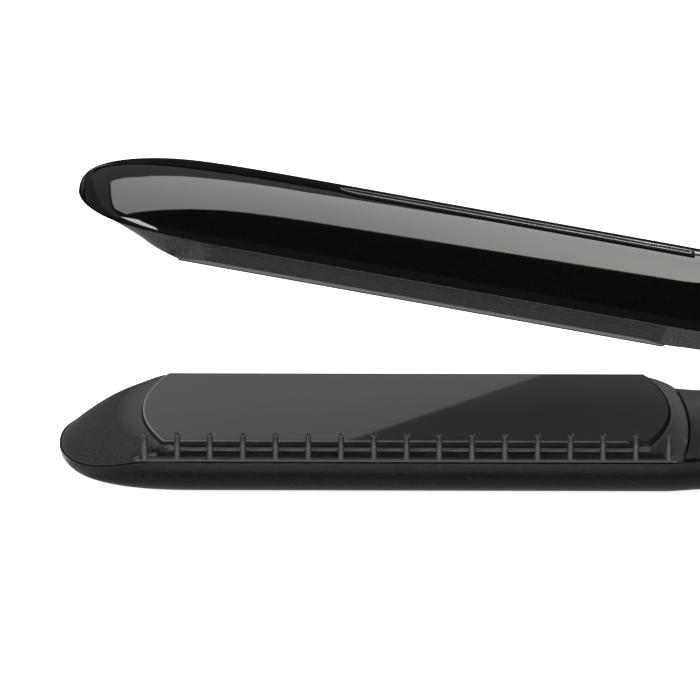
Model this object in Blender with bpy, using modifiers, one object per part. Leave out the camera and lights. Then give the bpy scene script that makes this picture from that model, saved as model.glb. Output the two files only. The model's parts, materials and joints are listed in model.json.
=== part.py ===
"""Flat iron with a side comb: two sprung jaws on one hinge, floating plates, heaters and controls.

Lengths in this file are in millimetres and become metres in the meshes. Each arm has its own frame on the
hinge axis: u runs from the hinge to the tip, y across, d from the plane where the plates meet outwards.
"""

import math

import bmesh
import bpy
from mathutils import Matrix, Vector

MM = 0.001
GAP = 0.3  # between neighbouring pieces

# Driving dimensions
HINGE_X = 105.5
PLANE_Z = 13.5  # height of the plane where the plates meet
OPEN_ANGLE = 10.8
TIP_U = 235.0
NOSE_START_U = 205.0
EDGE_TURN_U = 212.5  # where the housing's edge starts to leave its straight run towards the tip
EDGE_TURN_LENGTH = 19.5
WALL = 1.6

PLATE_HALF_WIDTH = 18.0
PLATE_FRONT_U = 212.9  # where the straight sides end
PLATE_REAR_U = 112.5
PLATE_BOW = 4.8  # how far each end bows out
PLATE_THICKNESS = 1.5
PLATE_PROUD = 0.7  # of the frame around it
PLATE_GAP = 0.35  # between a plate and its frame

RIM_FRONT = (214.0, 8.6, 2.8)  # where the frame's rim ends ahead of the plate, how far it bows, and how squarely
SLOPE_FRONT = (214.2, 9.2, 2.8)  # the same for the top of the slope around it
RIM_DEPTH = 1.0
SLOPE_TOP_DEPTH = 1.3

JAW_REAR_U = 110.0
HANDLE_FRONT_U = 100.0
COVER_FRONT_U = 103.7
JAW_HALF_WIDTH = 19.5

LOWER = {
    "name": "lower",
    "side": -1,
    "jaw_width": 20.0,
    "handle_width": 18.5,
    "depth": 13.5,
    "crown_start_u": 212.0,
    "crown_power": 2.2,
    "jaw_edge": 4.0,
    "handle_edge": 4.0,
    "tip_depth": 7.6,
    "slope_power": 1.5,
    "rim_rear": ((111.9, -4.65), (111.6, -4.7)),
    "frame_rear": (106.2, -2.2),
    "nose_power": 2.4,
    "power": 3.2,
    "crown": 1.03,
    "tail_u": -17.0,
    "tail_width": 15.0,
    "screws_u": (88.0, 52.0),
}
UPPER = {
    "name": "upper",
    "side": 1,
    "jaw_width": 19.8,
    "handle_width": 19.4,
    "depth": 14.6,
    "crown_start_u": 185.0,
    "crown_power": 2.9,
    "jaw_edge": 5.6,
    "handle_edge": 5.6,
    "tip_depth": 4.6,
    "slope_power": 1.0,
    "rim_rear": ((109.4, -3.4), (105.1, -1.1)),
    "frame_rear": (104.9, -0.9),
    "nose_power": 2.2,
    "power": 1.4,
    "crown": 1.0,
    "tail_u": -10.0,
    "tail_width": 17.6,
    "screws_u": (48.0, 18.0),
}
SECTION_SEGMENTS = 21
NOSE_STEPS = 8

COMB_TEETH = 17
COMB_PITCH = 6.715
COMB_Y = -20.35
COMB_FIRST_U = 216.4
COMB_BAR_D = 2.9
COMB_BAR_RADIUS = 0.62
COMB_OVERHANG = 2.0  # of the bar past its end teeth
COMB_CLIP_HALF_LENGTH = 1.4
COMB_CLIP_D = (1.8, 3.5)
TOOTH_TOP_D = -2.8

PIN_RADIUS = 2.0
BARREL_RADIUS = 5.6
EAR_Y = 9.1
EAR_HALF_WIDTH = 2.2
BUTTON_TRAVEL = 0.6
OUTLET_DEPTH = 8.55

PANEL_U = (58.0, 106.5)
PANEL_HALF_WIDTH = 6.4
INLAY_HALF_WIDTH = 1.6
INLAY_REAR_U = 108.2
INLAY_ARC_U = 177.0  # where its rounded front starts
INLAY_ARC_LENGTH = 6.0


# Scene, collections and materials


def empty_scene():
    for item in list(bpy.data.objects):
        bpy.data.objects.remove(item, do_unlink=True)


def new_collection(name):
    collection = bpy.data.collections.new(name)
    bpy.context.scene.collection.children.link(collection)
    return collection


def make_material(name, colour, roughness, metallic=0.0):
    material = bpy.data.materials.new(name)
    material.use_nodes = True
    shader = material.node_tree.nodes["Principled BSDF"]
    shader.inputs["Base Color"].default_value = (*colour, 1.0)
    shader.inputs["Roughness"].default_value = roughness
    shader.inputs["Metallic"].default_value = metallic
    return material


empty_scene()
PARTS = new_collection("flat_iron")
CUTTERS = new_collection("cutters")

GLOSS_BLACK = make_material("gloss_black", (0.008, 0.008, 0.008), 0.06)
SATIN_BLACK = make_material("satin_black", (0.015, 0.015, 0.015), 0.42)
CHARCOAL = make_material("charcoal", (0.05, 0.05, 0.052), 0.55)
PLATE_COATING = make_material("plate_coating", (0.07, 0.07, 0.07), 0.22, 0.6)
SMOKED_LENS = make_material("smoked_lens", (0.02, 0.02, 0.025), 0.05)
SATIN_GREY = make_material("satin_grey", (0.22, 0.22, 0.22), 0.35)
STEEL = make_material("steel", (0.55, 0.55, 0.56), 0.3, 1.0)
CERAMIC = make_material("ceramic", (0.85, 0.83, 0.78), 0.5)
BOARD_GREEN = make_material("board_green", (0.02, 0.16, 0.06), 0.4)
WIRE_RED = make_material("wire_red", (0.5, 0.03, 0.02), 0.5)
WIRE_WHITE = make_material("wire_white", (0.8, 0.8, 0.78), 0.5)


def make_pivot(name, angle):
    pivot = bpy.data.objects.new(name, None)
    pivot.location = (HINGE_X * MM, 0.0, PLANE_Z * MM)
    pivot.rotation_euler = (0.0, math.radians(angle), 0.0)
    PARTS.objects.link(pivot)
    return pivot


PIVOTS = {
    "lower": make_pivot("lower_arm_pivot", 0.0),
    "upper": make_pivot("upper_arm_pivot", OPEN_ANGLE),
}


# Building blocks


def arm_point(arm, u, y, d):
    return Vector((-u, y, arm["side"] * d)) * MM


def add_object(name, data, arm, material, collection=PARTS):
    item = bpy.data.objects.new(name, data)
    item.parent = PIVOTS[arm["name"]]
    collection.objects.link(item)
    if material is not None:
        data.materials.append(material)
    return item


def mesh_from(name, mesh_builder):
    mesh = bpy.data.meshes.new(name)
    mesh_builder.to_mesh(mesh)
    mesh_builder.free()
    return mesh


def smooth(item, angle=35.0):
    mesh = item.data
    mesh.shade_smooth()
    mesh.set_sharp_from_angle(angle=math.radians(angle))


def weld_and_orient(mesh_builder, flat_faces_only=False):
    bmesh.ops.remove_doubles(mesh_builder, verts=mesh_builder.verts, dist=1e-6)
    bmesh.ops.dissolve_degenerate(mesh_builder, edges=mesh_builder.edges, dist=1e-7)
    if flat_faces_only:
        bmesh.ops.triangulate(mesh_builder, faces=mesh_builder.faces)
    bmesh.ops.recalc_face_normals(mesh_builder, faces=mesh_builder.faces)


def loft(name, arm, rings, material, closed_profile=False, collection=PARTS):
    """A solid through rings with equal numbers of points, capped unless its profile closes on itself."""
    mesh_builder = bmesh.new()
    rows = [[mesh_builder.verts.new(arm_point(arm, *point)) for point in ring] for ring in rings]
    count = len(rows[0])
    pairs = list(zip(rows, rows[1:]))
    if closed_profile:
        pairs.append((rows[-1], rows[0]))
    else:
        mesh_builder.faces.new(rows[0])
        mesh_builder.faces.new(rows[-1])
    for row, following in pairs:
        for index in range(count):
            after = (index + 1) % count
            mesh_builder.faces.new((row[index], row[after], following[after], following[index]))
    weld_and_orient(mesh_builder, flat_faces_only=True)
    item = add_object(name, mesh_from(name, mesh_builder), arm, material, collection)
    smooth(item)
    return item


def block(name, arm, u_range, y_range, d_range, material, bevel=0.0, collection=PARTS):
    """A box between two values on each axis of its arm."""
    corners = [arm_point(arm, u, y, d) for u, y, d in zip(u_range, y_range, d_range)]
    centre = (corners[0] + corners[1]) / 2
    size = [abs(a - b) for a, b in zip(*corners)]
    mesh_builder = bmesh.new()
    bmesh.ops.create_cube(mesh_builder, size=1.0, matrix=Matrix.Diagonal((*size, 1.0)))
    item = add_object(name, mesh_from(name, mesh_builder), arm, material, collection)
    item.location = centre
    if bevel:
        add_bevel(item, bevel)
    return item


def add_bevel(item, width, segments=2):
    modifier = item.modifiers.new("rounded_edges", "BEVEL")
    modifier.width = width * MM
    modifier.segments = segments
    modifier.limit_method = "ANGLE"


def rod(name, arm, centre, radius, length, axis, material, segments=32, collection=PARTS):
    """A cylinder on the u, y or d axis of its arm."""
    mesh_builder = bmesh.new()
    bmesh.ops.create_cone(
        mesh_builder,
        cap_ends=True,
        segments=segments,
        radius1=radius * MM,
        radius2=radius * MM,
        depth=length * MM,
    )
    item = add_object(name, mesh_from(name, mesh_builder), arm, material, collection)
    item.location = arm_point(arm, *centre)
    turns = {"u": (0.0, math.pi / 2, 0.0), "y": (math.pi / 2, 0.0, 0.0), "d": (0.0, 0.0, 0.0)}
    item.rotation_euler = turns[axis]
    smooth(item)
    return item


def turned(name, arm, profile, location, rotation, material, steps=24):
    """A solid of revolution from a profile of radius and height that runs from top to bottom."""
    mesh = bpy.data.meshes.new(name)
    points = [(radius * MM, 0.0, height * MM) for radius, height in profile]
    mesh.from_pydata(points, [(i, i + 1) for i in range(len(points) - 1)], [])
    item = add_object(name, mesh, arm, material)
    item.location = arm_point(arm, *location)
    item.rotation_euler = rotation
    modifier = item.modifiers.new("turn", "SCREW")
    modifier.steps = steps
    modifier.render_steps = steps
    modifier.use_merge_vertices = True
    modifier.merge_threshold = 1e-5
    modifier.use_smooth_shade = False
    return item


def slab(name, arm, outline, d_range, material, bevel=0.0, collection=PARTS):
    """A flat piece with an outline in u and y."""
    curve = bpy.data.curves.new(name + "_outline", "CURVE")
    curve.dimensions = "2D"
    curve.fill_mode = "BOTH"
    curve.extrude = abs(d_range[1] - d_range[0]) / 2 * MM
    spline = curve.splines.new("POLY")
    spline.points.add(len(outline) - 1)
    for point, (u, y) in zip(spline.points, outline):
        point.co = (-u * MM, y * MM, 0.0, 1.0)
    spline.use_cyclic_u = True
    helper = bpy.data.objects.new(name + "_helper", curve)
    CUTTERS.objects.link(helper)
    bpy.context.view_layer.update()
    graph = bpy.context.evaluated_depsgraph_get()
    mesh = bpy.data.meshes.new_from_object(helper.evaluated_get(graph))
    bpy.data.objects.remove(helper, do_unlink=True)
    mesh.name = name
    mesh.materials.clear()
    mesh_builder = bmesh.new()
    mesh_builder.from_mesh(mesh)
    weld_and_orient(mesh_builder)
    mesh_builder.to_mesh(mesh)
    mesh_builder.free()
    item = add_object(name, mesh, arm, material, collection)
    item.location = arm_point(arm, 0.0, 0.0, sum(d_range) / 2)
    if bevel:
        add_bevel(item, bevel)
    return item


def wire(name, arm, points, radius, material, side_steps=1):
    """A round wire through a row of points, as a mesh with filled ends."""
    curve = bpy.data.curves.new(name + "_path", "CURVE")
    curve.dimensions = "3D"
    curve.bevel_depth = radius * MM
    curve.bevel_resolution = side_steps
    curve.use_fill_caps = True
    spline = curve.splines.new("POLY")
    spline.points.add(len(points) - 1)
    for point, place in zip(spline.points, points):
        point.co = (*arm_point(arm, *place), 1.0)
    helper = bpy.data.objects.new(name + "_helper", curve)
    CUTTERS.objects.link(helper)
    bpy.context.view_layer.update()
    graph = bpy.context.evaluated_depsgraph_get()
    mesh = bpy.data.meshes.new_from_object(helper.evaluated_get(graph))
    bpy.data.objects.remove(helper, do_unlink=True)
    mesh.name = name
    mesh.materials.clear()
    mesh_builder = bmesh.new()
    mesh_builder.from_mesh(mesh)
    weld_and_orient(mesh_builder)
    mesh_builder.to_mesh(mesh)
    mesh_builder.free()
    item = add_object(name, mesh, arm, material)
    smooth(item, 60.0)
    return item


def boolean(item, tools, operation):
    for tool in tools:
        tool.hide_render = True
        tool.display_type = "WIRE"
        modifier = item.modifiers.new(operation.lower() + "_" + tool.name, "BOOLEAN")
        modifier.operation = operation
        modifier.solver = "EXACT"
        modifier.object = tool


def cut(item, *tools):
    boolean(item, tools, "DIFFERENCE")


def join(item, *tools):
    boolean(item, tools, "UNION")


# Shape of the arms


def ease(value):
    value = min(max(value, 0.0), 1.0)
    return value * value * (3.0 - 2.0 * value)


def nose_fall(u, start, end, power):
    """Runs from 1 at the start of the nose to 0 at its end."""
    share = min(max((u - start) / (end - start), 0.0), 1.0)
    return (1.0 - share**power) ** (1.0 / power)


def half_width(arm, u, inset=0.0, end=TIP_U):
    handle = ease((JAW_REAR_U - u) / (JAW_REAR_U - HANDLE_FRONT_U))
    width = arm["jaw_width"] + (arm["handle_width"] - arm["jaw_width"]) * handle
    tail = ease((20.0 - u) / (20.0 - arm["tail_u"]))
    width += (arm["tail_width"] - arm["handle_width"]) * tail
    return (width - inset) * nose_fall(u, NOSE_START_U, end, arm["nose_power"])


def edge_depth(arm, u):
    """Depth of the line where housing and inner parts meet."""
    handle = ease((JAW_REAR_U - u) / (JAW_REAR_U - HANDLE_FRONT_U))
    depth = arm["jaw_edge"] + (arm["handle_edge"] - arm["jaw_edge"]) * handle
    return depth + (arm["tip_depth"] - arm["jaw_edge"]) * ease((u - EDGE_TURN_U) / EDGE_TURN_LENGTH)


def full_depth(arm, u, inset=0.0, end=TIP_U):
    fall = nose_fall(u, arm["crown_start_u"], end, arm["crown_power"])
    return edge_depth(arm, u) + (arm["depth"] - inset - edge_depth(arm, u)) * fall


def section(arm, u, inset=0.0, end=TIP_U):
    """Points across one station of the housing, from the comb side over the outside to the far side."""
    points = []
    for index in range(SECTION_SEGMENTS + 1):
        angle = math.pi * index / SECTION_SEGMENTS
        across = abs(math.cos(angle)) ** (2.0 / arm["power"])
        rise = min(1.0, arm["crown"] * abs(math.sin(angle)) ** (2.0 / arm["power"]))
        y = -math.copysign(across, math.cos(angle)) * half_width(arm, u, inset, end)
        edge = edge_depth(arm, u)
        points.append((u, y, edge + (full_depth(arm, u, inset, end) - edge) * rise))
    return points


def stations(arm, inset, end):
    rows = []
    for step in range(NOSE_STEPS + 1):
        share = math.cos(math.pi / 2 * step / NOSE_STEPS) ** (2.0 / arm["nose_power"])
        rows.append(NOSE_START_U + (end - NOSE_START_U) * share)
    rows += [170.0, 140.0, JAW_REAR_U, 107.0, 104.5, HANDLE_FRONT_U, 60.0, 20.0, 12.0, 4.0, -4.0]
    rows.append(arm["tail_u"] + inset)
    return rows


def housing(name, arm, material):
    """The hollow outer housing of an arm: an outer and an inner skin joined along the edge."""
    mesh_builder = bmesh.new()
    skins = []
    for inset, end in ((0.0, TIP_U), (WALL, TIP_U - 2.2)):
        rows = [section(arm, u, inset, end) for u in stations(arm, inset, end)]
        skins.append([[mesh_builder.verts.new(arm_point(arm, *p)) for p in row] for row in rows])
    for skin in skins:
        for row, following in zip(skin, skin[1:]):
            for index in range(SECTION_SEGMENTS):
                mesh_builder.faces.new(
                    (row[index], row[index + 1], following[index + 1], following[index])
                )
        mesh_builder.faces.new(skin[-1])
    outer, inner = skins
    for edge in (0, SECTION_SEGMENTS):
        for index in range(len(outer) - 1):
            mesh_builder.faces.new(
                (outer[index][edge], outer[index + 1][edge], inner[index + 1][edge], inner[index][edge])
            )
    mesh_builder.faces.new((outer[-1][0], outer[-1][-1], inner[-1][-1], inner[-1][0]))
    weld_and_orient(mesh_builder, flat_faces_only=True)
    item = add_object(name, mesh_from(name, mesh_builder), arm, material)
    smooth(item)
    return item


ARC_STEPS = 10
SIDE_STEPS = 4
SLOPE_STEPS = 4


def loop(nose, tail, width, depth):
    """A closed outline round a jaw: its two ends are functions of the share across, its depth of u and y."""
    shares = [math.sin(math.pi / 2 * (2.0 * i / ARC_STEPS - 1.0)) for i in range(ARC_STEPS + 1)]
    front = [(nose(share), width * share) for share in shares]
    rear = [(tail(share), width * share) for share in reversed(shares)]
    points = list(front)
    for start, end in ((front[-1], rear[0]), (rear[-1], front[0])):
        side = [
            (start[0] + (end[0] - start[0]) * i / SIDE_STEPS, start[1]) for i in range(1, SIDE_STEPS)
        ]
        points += side
        if end is rear[0]:
            points += rear
    return [(u, y, depth(u, y)) for u, y in points]


def bowed(straight_end, bow, power=2.0):
    """An end that bows out from its straight sides."""
    return lambda share: straight_end + bow * (1.0 - abs(share) ** power)


def nose_end(arm, end):
    power = arm["nose_power"]
    return lambda share: NOSE_START_U + (end - NOSE_START_U) * (1.0 - abs(share) ** power) ** (1.0 / power)


def level(depth):
    return lambda u, y: depth


def plate_outline(grow=0.0):
    """Outline of a heating plate in u and y, grown by a margin."""
    ring = loop(
        bowed(PLATE_FRONT_U + grow, PLATE_BOW),
        bowed(PLATE_REAR_U - grow, -PLATE_BOW),
        PLATE_HALF_WIDTH + grow,
        level(0.0),
    )
    return [(u, y) for u, y, depth in ring]


def slope_ring(arm, out, drop):
    """A ring on the slope from the plate's rim to the housing's edge, by its shares out and down."""

    def between(first, second):
        return lambda share: first(share) + (second(share) - first(share)) * out

    def depth(u, y):
        return SLOPE_TOP_DEPTH + (edge_depth(arm, u) - GAP - SLOPE_TOP_DEPTH) * drop

    return loop(
        between(bowed(*SLOPE_FRONT), nose_end(arm, TIP_U - 0.5)),
        between(bowed(*arm["rim_rear"][1]), bowed(*arm["frame_rear"])),
        arm["jaw_width"] - 1.0 + 0.5 * out,
        depth,
    )


# Ranges in u, y and d of the tongues that reach from a frame into the housing
FRAME_TONGUES = {
    "front": ((219.5, 222.0), (-7.0, 7.0), (3.0, 8.5)),
    "left": ((107.0, 108.3), (-13.0, -9.0), (3.0, 6.8)),
    "right": ((107.0, 108.3), (9.0, 13.0), (3.0, 6.8)),
}


def jaw_frame(arm):
    """The heat-resistant frame round the plate, with tongues that hold it in the housing."""
    width = arm["jaw_width"]
    name = arm["name"] + "_frame"
    opening_front = bowed(PLATE_FRONT_U + PLATE_GAP, PLATE_BOW)
    opening_rear = bowed(PLATE_REAR_U - PLATE_GAP, -PLATE_BOW)
    opening_width = PLATE_HALF_WIDTH + PLATE_GAP
    rings = []
    for step in range(SLOPE_STEPS + 1):
        angle = math.pi / 2 * step / SLOPE_STEPS
        out = math.cos(angle) ** (2.0 / arm["slope_power"]) if step < SLOPE_STEPS else 0.0
        rings.append(slope_ring(arm, out, 1.0 - math.sin(angle) ** (2.0 / arm["slope_power"])))
    rings += [
        loop(bowed(*RIM_FRONT), bowed(*arm["rim_rear"][0]), width - 1.2, level(RIM_DEPTH)),
        loop(opening_front, opening_rear, opening_width, level(PLATE_PROUD)),
        loop(opening_front, opening_rear, opening_width, lambda u, y: edge_depth(arm, u) - GAP),
    ]
    item = loft(name, arm, rings, CHARCOAL, closed_profile=True)
    for place, ranges in FRAME_TONGUES.items():
        join(item, block(name + "_tongue_" + place, arm, *ranges, None, 0, CUTTERS))
    return item


def comb_recess():
    """A sloping recess along the upper frame, which clears the comb's teeth and bares the plate's edge."""
    rings = []
    for u, inner_y, depth in (
        (PLATE_REAR_U + 0.6, -19.7, 1.0),
        (PLATE_REAR_U + 4.5, -18.1, 5.6),
        (PLATE_FRONT_U - 7.0, -18.1, 5.6),
        (PLATE_FRONT_U - 1.0, -19.7, 1.0),
    ):
        rings.append([(u, inner_y, 0.5), (u, -20.0, 0.5), (u, -20.0, depth)])
    return loft("comb_recess_cutter", UPPER, rings, None, collection=CUTTERS)


# Heating pieces inside a jaw


def coil(name, arm, u, d_range):
    turns = 4
    steps = 10
    points = []
    for index in range(turns * steps + 1):
        angle = 2.0 * math.pi * index / steps
        depth = d_range[0] + (d_range[1] - d_range[0]) * index / (turns * steps)
        points.append((u + 2.4 * math.cos(angle), 2.4 * math.sin(angle), depth))
    return wire(name, arm, points, 0.28, STEEL)


def heating_set(arm, floor_depth):
    """Plate, heater, clip and springs, and the chassis rail below them."""
    name = arm["name"]
    slab(name + "_plate", arm, plate_outline(), (0.0, PLATE_THICKNESS), PLATE_COATING, 0.25)
    block(name + "_heater", arm, (124.0, 204.0), (-7.0, 7.0), (1.8, 4.0), CERAMIC, 0.2)
    clip = block(name + "_heater_clip", arm, (118.0, 208.0), (-9.5, 9.5), (1.8, 5.2), STEEL, 0.3)
    cut(clip, block(name + "_clip_cutter", arm, (110.0, 216.0), (-7.4, 7.4), (0.0, 4.3), None, 0, CUTTERS))
    coil(name + "_plate_spring_front", arm, 196.0, (6.4, floor_depth - 0.6))
    coil(name + "_plate_spring_rear", arm, 130.0, (6.4, floor_depth - 0.6))
    rail_outline = [(116.0, -8.0), (210.0, -8.0), (210.0, 8.0), (116.0, 8.0)]
    slab(name + "_chassis", arm, rail_outline, (floor_depth, floor_depth + 1.0), CHARCOAL, 0.3)
    block(
        name + "_thermal_sensor",
        arm,
        (160.0, 165.0),
        (-2.0, 2.0),
        (floor_depth - 2.2, floor_depth - GAP),
        CERAMIC,
        0.4,
    )
    for lead, y, material in (("live", 12.0, WIRE_RED), ("neutral", -12.0, WIRE_WHITE)):
        handle_y = y * 0.75
        points = [(200.0, y, 7.9), (150.0, y, 8.1), (112.0, y, 8.1)]
        points += [(92.0, handle_y, 8.4), (62.0, handle_y, 8.4)]
        wire(name + "_lead_" + lead, arm, points, 0.6, material)


# Comb


def comb():
    """A bar with teeth along it and a clip at each end."""
    rear_u = COMB_FIRST_U - COMB_PITCH * (COMB_TEETH - 1)
    bar = rod(
        "comb",
        LOWER,
        ((COMB_FIRST_U + rear_u) / 2, COMB_Y, COMB_BAR_D),
        COMB_BAR_RADIUS,
        COMB_FIRST_U - rear_u + 2.0 * COMB_OVERHANG,
        "u",
        SATIN_BLACK,
        segments=12,
    )
    tools = []
    for index in range(COMB_TEETH):
        u = COMB_FIRST_U - COMB_PITCH * index
        height = COMB_BAR_D - TOOTH_TOP_D
        profile = [(0.0, height), (0.34, height - 0.08), (0.5, height - 0.35), (0.6, 0.0), (0.0, -0.1)]
        turns = {"rotation": (0.0, 0.0, 0.0), "material": None, "steps": 10}
        tooth = turned("comb_tooth_" + str(index + 1), LOWER, profile, (u, COMB_Y, COMB_BAR_D), **turns)
        PARTS.objects.unlink(tooth)
        CUTTERS.objects.link(tooth)
        tools.append(tooth)
    for name, u, reach in (("front", COMB_FIRST_U - 1.2, -19.3), ("rear", rear_u - 0.4, -19.6)):
        ranges = ((u - COMB_CLIP_HALF_LENGTH, u + COMB_CLIP_HALF_LENGTH), (COMB_Y, reach), COMB_CLIP_D)
        tools.append(block("comb_clip_" + name, LOWER, *ranges, None, 0, CUTTERS))
    join(bar, *tools)
    return bar


# Handle


def cover_outline(arm, inset, front):
    """Outline of a handle cover, which follows the jaw frame's rear end and the housing's inner wall."""
    shares = [2.0 * i / ARC_STEPS - 1.0 for i in range(ARC_STEPS + 1)]
    bow = -arm["frame_rear"][1]
    wide = half_width(arm, front + bow) - inset
    points = [(front + bow * (wide * share / JAW_HALF_WIDTH) ** 2, wide * share) for share in shares]
    rows = [HANDLE_FRONT_U, 20.0, 12.0, 4.0, -4.0, arm["tail_u"] + inset]
    points += [(u, half_width(arm, u) - inset) for u in rows]
    points += [(u, -(half_width(arm, u) - inset)) for u in reversed(rows)]
    return points


def flat_cover(arm, d_range):
    """A flat cover that lies between the housing's walls."""
    outline = cover_outline(arm, WALL + GAP, COVER_FRONT_U)
    return slab(arm["name"] + "_handle_cover", arm, outline, d_range, CHARCOAL, 0.3)


def tray_cover(arm, d_range):
    """A cover with side walls that stands on the housing's edge."""
    rings = []
    for inset, depth in (
        (2.8, arm["handle_edge"] + 1.2),
        (2.8, arm["handle_edge"] - GAP),
        (0.5, arm["handle_edge"] - GAP),
        (0.9, d_range[0] + 0.5),
        (1.5, d_range[0]),
    ):
        rings.append([(u, y, depth) for u, y in cover_outline(arm, inset, COVER_FRONT_U)])
    cover = loft(arm["name"] + "_handle_cover", arm, rings, CHARCOAL)
    room = cover_outline(arm, 4.4, COVER_FRONT_U - 2.0)
    cut(cover, slab("cover_room", arm, room, (d_range[1], 9.0), None, 0, CUTTERS))
    return cover


def handle_cover(arm, d_range):
    """The inner side of a handle, open around the hinge."""
    name = arm["name"] + "_handle_cover"
    cover = flat_cover(arm, d_range) if arm is LOWER else tray_cover(arm, d_range)
    cut(
        cover,
        block(name + "_hinge_cutter", arm, (-7.3, 7.3), (-13.0, 13.0), (-3.0, 9.0), None, 0, CUTTERS),
    )
    for index, u in enumerate(arm["screws_u"]):
        cut(
            cover,
            rod(name + "_hole_" + str(index), arm, (u, 0.0, 4.0), 1.4, 9.0, "d", None, 16, CUTTERS),
            rod(
                name + "_sink_" + str(index), arm, (u, 0.0, d_range[0]), 2.5, 1.2, "d", None, 24, CUTTERS
            ),
        )
        screw(arm["name"] + "_cover_screw_" + ("front", "rear")[index], arm, u, d_range[0] + 0.05)
    return cover


def screw(name, arm, u, head_depth):
    """A pan-head screw that goes into the arm, with a hex socket in its head."""
    length = 5.0
    profile = [(0.0, -0.35), (0.7, -0.35), (0.8, 0.0), (1.9, 0.0), (2.15, -0.2), (2.15, -0.5), (1.1, -0.5)]
    profile += [(1.1, -length), (0.0, -length)]
    turn = (0.0, 0.0, 0.0) if arm["side"] < 0 else (math.pi, 0.0, 0.0)
    return turned(name, arm, profile, (u, 0.0, head_depth), turn, STEEL, steps=16)


def screw_bosses(arm, shell, cover_depth):
    """Hollow posts inside the housing that take the cover's screws."""
    for index, u in enumerate(arm["screws_u"]):
        top = cover_depth + GAP
        bottom = arm["depth"] - 0.8
        centre = (u, 0.0, (top + bottom) / 2)
        name = arm["name"] + "_boss_" + str(index)
        join(shell, rod(name, arm, centre, 3.0, bottom - top, "d", None, 20, CUTTERS))
        hole_centre = (u, 0.0, top + 2.5)
        cut(shell, rod(name + "_hole", arm, hole_centre, 1.4, 5.4, "d", None, 16, CUTTERS))


def hinge():
    """Centre block on the lower arm, two ears on the upper arm, pin, spring and end caps."""
    centre_block = rod("hinge_block", LOWER, (0.0, 0.0, 0.0), BARREL_RADIUS, 13.0, "y", CHARCOAL)
    join(centre_block, block("hinge_stem", LOWER, (-5.5, 5.5), (-6.5, 6.5), (0.0, 11.4), None, 0, CUTTERS))
    cut(
        centre_block,
        block("spring_room", LOWER, (-7.0, 7.0), (-3.6, 3.6), (-8.0, 5.4), None, 0, CUTTERS),
        rod("block_bore", LOWER, (0.0, 0.0, 0.0), PIN_RADIUS + GAP, 30.0, "y", None, 32, CUTTERS),
    )
    for name, side in (("left", -1), ("right", 1)):
        centre = (0.0, side * EAR_Y, 0.0)
        y_range = (side * EAR_Y - EAR_HALF_WIDTH, side * EAR_Y + EAR_HALF_WIDTH)
        ear = rod("hinge_ear_" + name, UPPER, centre, BARREL_RADIUS, 2.0 * EAR_HALF_WIDTH, "y", CHARCOAL)
        join(ear, block("ear_stem_" + name, UPPER, (-5.5, 5.5), y_range, (0.0, 5.8), None, 0, CUTTERS))
        bore_radius = PIN_RADIUS + GAP
        cut(ear, rod("ear_bore_" + name, UPPER, centre, bore_radius, 9.0, "y", None, 32, CUTTERS))
        profile = [(0.0, 0.8), (2.8, 0.7), (4.2, 0.4), (4.7, 0.0), (4.7, -0.3), (0.0, -0.3)]
        turn = (math.pi / 2 if side < 0 else -math.pi / 2, 0.0, 0.0)
        turned("hinge_cap_" + name, LOWER, profile, (0.0, side * 11.9, 0.0), turn, STEEL, steps=32)
    rod("hinge_pin", LOWER, (0.0, 0.0, 0.0), PIN_RADIUS, 22.5, "y", STEEL, 24)
    hinge_spring()


def hinge_spring():
    """A torsion spring round the pin."""
    steps = 12
    turns = 4
    radius = 3.1
    points = [(6.4, -2.6, 2.9)]
    for index in range(turns * steps + 1):
        angle = 2.0 * math.pi * index / steps
        y = -2.6 + 5.2 * index / (turns * steps)
        points.append((radius * math.sin(angle), y, radius * math.cos(angle)))
    points.append((6.4, 2.6, 3.2))
    wire("hinge_spring", LOWER, points, 0.4, STEEL)


def lock():
    """The slider that holds the jaws shut and the catch that it holds."""
    knob = block("lock_slider", LOWER, (22.0, 31.0), (-3.4, 3.4), (1.6, 3.0), SATIN_GREY, 0.0)
    join(
        knob,
        block("lock_neck", LOWER, (24.0, 28.0), (-2.0, 2.0), (2.8, 5.6), None, 0, CUTTERS),
        block("lock_tongue", LOWER, (21.0, 32.0), (-3.0, 3.0), (5.3, 6.0), None, 0, CUTTERS),
    )
    catch = block("lock_catch", UPPER, (37.2, 39.2), (-3.0, 3.0), (-7.2, 3.6), CHARCOAL, 0.0)
    join(catch, block("catch_foot", UPPER, (33.4, 38.0), (-3.0, 3.0), (-7.4, -6.4), None, 0, CUTTERS))


def cord_outlet():
    """The turning outlet that the cord leaves through."""
    profile = [(2.1, 7.0), (3.4, 7.0), (3.9, 6.4), (4.2, 0.3), (2.75, 0.3), (2.75, -1.9), (3.2, -1.9)]
    profile += [(3.2, -2.9), (2.1, -2.9), (2.1, 7.0)]
    turn = (0.0, math.pi / 2, 0.0)
    place = (LOWER["tail_u"], 0.0, OUTLET_DEPTH)
    turned("cord_swivel", LOWER, profile, place, turn, SATIN_BLACK, steps=32)


# Controls on the ridge of the upper handle


def ridge_depth(arm, u, y, raised):
    """Depth of the housing's skin at a place near its ridge."""
    share = min(abs(y) / half_width(arm, u), 1.0)
    rise = (1.0 - share ** arm["power"]) ** (1.0 / arm["power"])
    edge = edge_depth(arm, u)
    return edge + (full_depth(arm, u) - edge) * rise + raised


def ridge_strip(name, arm, rows, raised, thickness, material, collection=PARTS):
    """A strip that follows the ridge: rows of u and half width, a raised top and a floor below it."""
    shares = (-1.0, -0.5, 0.0, 0.5, 1.0)
    rings = []
    for u, width in rows:
        top = [(u, width * share, ridge_depth(arm, u, width * share, raised)) for share in shares]
        floor = [(u, y, depth - thickness) for u, y, depth in reversed(top)]
        rings.append(top + floor)
    return loft(name, arm, rings, material, collection=collection)


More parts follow.
